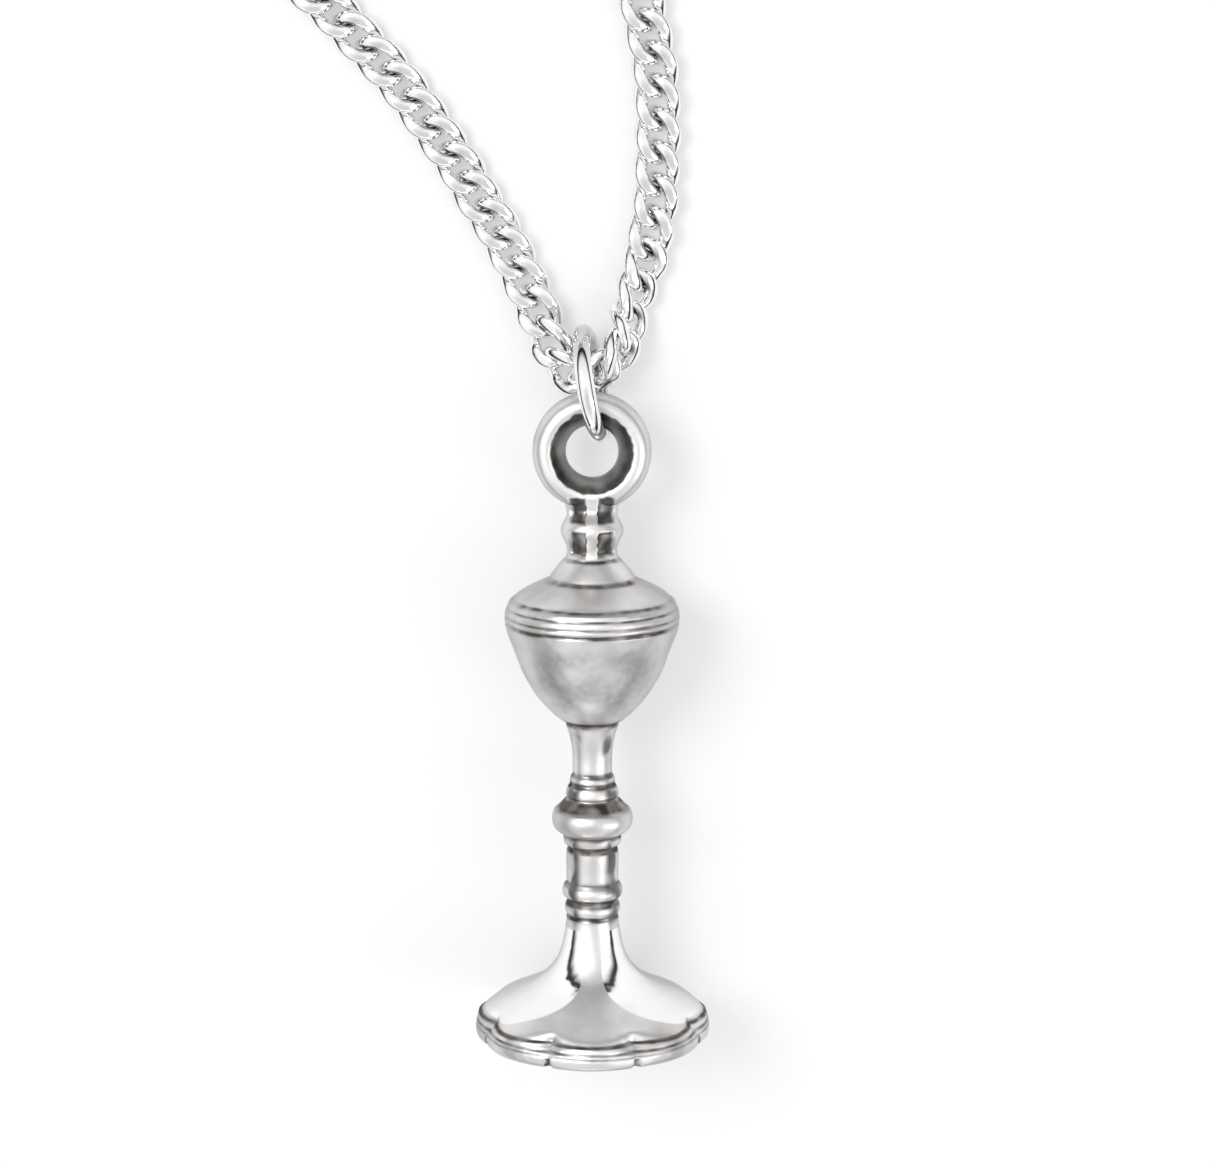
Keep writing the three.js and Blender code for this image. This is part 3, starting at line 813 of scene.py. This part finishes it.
def chain_line():
    """The chain's line from the left coil to the right one, and the distance to its middle link."""
    left, right = ([(x, y, CHAIN_Z) for x, y in side] for side in (ROUTE_LEFT, ROUTE_RIGHT))
    offset = Vector((BAIL_CENTRE.x, BAIL_CENTRE.y, 0))
    points = [offset + Vector(point) for point in [*left, *ROUTE_MIDDLE, *right, *ROUTE_CLIMB]]
    steps = 120
    line = Line(curve_through(points, steps))
    at_middle = line.distances[(len(ROUTE_LEFT) + MIDDLE_LINK_AT) * steps]
    return line, float(at_middle)


def coil_points(coil, entry, way, end_angle, ring_side):
    """The chain wound from its entry: outer low, outer high, inner low, inner high, ring.

    way is 1 for anticlockwise and -1 for clockwise."""
    centre = centre_of(coil)
    start = math.degrees(math.atan2(entry.y - centre.y, entry.x - centre.x))
    entry_radius = math.hypot(entry.x - centre.x, entry.y - centre.y)
    sweep = way * (end_angle - start) % 360 + 3 * 360
    points = []
    for turned_by in np.arange(COIL_SAMPLE, sweep, COIL_SAMPLE):
        first, second, third = (ease(turned_by, 360 * n - COIL_EASE, 360 * n) for n in (1, 2, 3))
        radius = entry_radius + (COIL_OUTER_TURN - entry_radius) * ease(turned_by, 0, COIL_ENTRY)
        radius += (COIL_INNER_TURN - COIL_OUTER_TURN) * second
        radius += (ring_side - COIL_INNER_TURN) * ease(turned_by, sweep - RING_EASE, sweep)
        height = entry.z + COIL_STEP * (first - second + third)
        height += (END_Z - entry.z - COIL_STEP) * ease(turned_by, sweep - END_EASE, sweep)
        angle = math.radians(start + way * turned_by)
        points.append(Vector((centre.x + radius * math.cos(angle),
                              centre.y + radius * math.sin(angle), height)))
    return points


def add_middle_links(line, middle, material):
    """The separate links, one piece each: the middle one and the left ones, then the right ones."""
    shape = link_shape(*LINK_MESH)
    pieces = {-1: [], 1: []}
    for index in range(-LINKS_EACH_SIDE, LINKS_EACH_SIDE + 1):
        side = "left" if index < 0 else "right"
        node = f"link_{side}_{abs(index)}" if index else "link_middle"
        roll = LINK_ROLL[index + LINKS_EACH_SIDE]
        place = link_frame(line, middle + index * LINK_PITCH, roll)
        piece = add_links(f"{node}_wire", [place], shape, material)
        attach(piece, f"{node}_body")
        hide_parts(node)
        pieces[-1 if index <= 0 else 1].append(piece)
    return pieces


def add_strand(side, route, way, end_angle, ring_side, material):
    """The rest of one side of the chain: links from the last separate one to the coil's end."""
    whole = Line([*route, *coil_points(f"coil_{side}", route[-1], way, end_angle, ring_side)])
    count = int((whole.length - LINK_PITCH / 2) / LINK_PITCH)
    places = []
    for i in range(1, count + 1):
        roll = END_ROLL * ease(i, count - END_LINKS, count)
        places.append(link_frame(whole, i * LINK_PITCH, roll))
    piece = add_links(f"chain_{side}_links", places, link_shape(*STRAND_LINK_MESH), material)
    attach(piece, f"link_{side}_{LINKS_EACH_SIDE}_body")
    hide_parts(f"chain_{side}", f"coil_{side}")
    start = LINK_PITCH / 2
    length = count * LINK_PITCH
    spots = np.linspace(start, start + length, 4 * count)
    path = [tuple(whole.at(spot) * MM) for spot in spots]
    return piece, path, length


def ring_piece(node, body, mesh_steps, material):
    """Smooth round ring in place of a CAD end ring or eyelet."""
    steps, sides = mesh_steps
    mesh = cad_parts[node].data
    spots = np.array([vertex.co[:] for vertex in mesh.vertices]) / MM
    centre = spots.mean(axis=0)
    spread = np.linalg.svd(spots - centre, full_matrices=False)[2]
    first, second, normal = (Vector(direction) for direction in spread)
    reach = float(np.linalg.norm(spots - centre, axis=1).max())
    wire = float(np.abs((spots - centre) @ np.array(normal)).max())
    centres = ring_points(Vector(centre), first, second, reach - wire, steps)
    points, faces = closed_tube(centres, wire, sides, normal)
    piece = smooth_mesh(f"{node}_wire", points, faces, material)
    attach(piece, body)
    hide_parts(node)
    return piece


def add_chain(material):
    """The whole chain with its rings and clasp."""
    line, middle = chain_line()
    links = add_middle_links(line, middle, material)
    past_links = LINKS_EACH_SIDE * LINK_PITCH
    spacing = 0.1
    left_spots = np.arange(middle - past_links, 0, -spacing)
    right_spots = np.arange(middle + past_links, line.length, spacing)
    left_end = [ring_piece("connector_ring", "connector", RING_MESH, material), *add_clasp(material)]
    right_end = [ring_piece("end_ring", "end_ring_body", RING_MESH, material)]
    sides = [
        (-1, "left", left_spots, LEFT_END_ANGLE, LEFT_RING_SIDE, "connector", left_end),
        (1, "right", right_spots, RIGHT_END_ANGLE, RIGHT_RING_SIDE, "fitting", right_end),
    ]
    for sign, side, spots, end_angle, ring_side, far_end, end_pieces in sides:
        route = [line.at(spot) for spot in spots]
        piece, path, length = add_strand(side, route, sign, end_angle, ring_side, material)


# ---------------------------------------------------------------- clasp

def clasp_direction(degrees):
    """Direction from the clasp's middle; its mouth faces -X."""
    turn = math.radians(degrees)
    return Vector((-math.cos(turn), -math.sin(turn), 0))


def clasp_middle():
    low, high = (Vector(corner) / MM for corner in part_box("clasp_case"))
    return Vector((high.x - CASE_RADIUS - CASE_TUBE, (low.y + high.y) / 2, (low.z + high.z) / 2))


def case_piece(middle, material):
    """Curved tube of the clasp with an open slot along its outer side for the lever."""
    steps = 100
    sides = 45
    start, end = CASE_ARC
    points = []
    for i in range(steps + 1):
        out = clasp_direction(start + (end - start) * i / steps)
        points += ring_points(middle + CASE_RADIUS * out, out, UP, CASE_TUBE, sides)
    faces = []
    for index, face in enumerate(grid_faces(steps + 1, sides)):
        at = start + (end - start) * (index // sides + 0.5) / steps
        off_outside = abs((360 * (index % sides + 0.5) / sides + 180) % 360 - 180)
        if off_outside > SLOT_HALF_ANGLE or not SLOT_ARC[0] < at < SLOT_ARC[1]:
            faces.append(face)
    piece = smooth_mesh("clasp_case_tube", points, faces, material)
    wall = piece.modifiers.new("wall", "SOLIDIFY")
    wall.thickness = CASE_WALL * MM
    wall.offset = -1
    rounding = piece.modifiers.new("rounding", "BEVEL")
    rounding.width = CASE_ROUNDING * MM
    rounding.segments = 2
    return piece


def bolt_line(middle):
    start, end = BOLT_ARC
    steps = 40
    return [middle + CASE_RADIUS * clasp_direction(start + (end - start) * i / steps)
            for i in range(steps + 1)]


def lever_line(middle):
    near, far = LEVER_REACH
    steps = 7
    out = clasp_direction(LEVER_AT)
    return [middle + (near + (far - near) * i / steps) * out for i in range(steps + 1)]


def spring_line(middle):
    """Middle of the spring's wire, wound along the bend of the case."""
    start, end = SPRING_ARC
    line = []
    steps = SPRING_TURNS * 20
    for i in range(steps + 1):
        share = i / steps
        out = clasp_direction(start + (end - start) * share)
        turn = 2 * math.pi * SPRING_TURNS * share
        line.append(middle + (CASE_RADIUS + SPRING_COIL * math.cos(turn)) * out
                    + SPRING_COIL * math.sin(turn) * UP)
    return line


def bar_piece(name, line, radius, sides, material):
    points, faces = open_tube(line, radius, sides)
    return smooth_mesh(name, points, faces, material)


def add_clasp(material):
    """The clasp's case, bolt, lever, spring and eyelet."""
    middle = clasp_middle()
    case = case_piece(middle, material)
    bolt = bar_piece("clasp_bolt_bar", bolt_line(middle), BOLT_RADIUS, 20, material)
    lever = bar_piece("clasp_lever_pin", lever_line(middle), LEVER_RADIUS, 16, material)
    spring = bar_piece("clasp_spring_coil", spring_line(middle), SPRING_WIRE, 8, material)
    rides = [(case, "clasp_case", "clasp"), (bolt, "clasp_bolt", "bolt"),
             (lever, "clasp_lever", "bolt"), (spring, "clasp_spring", "clasp")]
    for piece, node, body in rides:
        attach(piece, body)
        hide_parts(node)
    return [case, bolt, lever, spring, ring_piece("clasp_eyelet", "clasp", EYELET_MESH, material)]


add_camera()
bright = bright_silver()
antique = antique_silver()
add_chain(bright)
add_ciborium(antique)
add_bail_ring(antique)
add_jump_ring(bright)
add_floor()
add_lights()
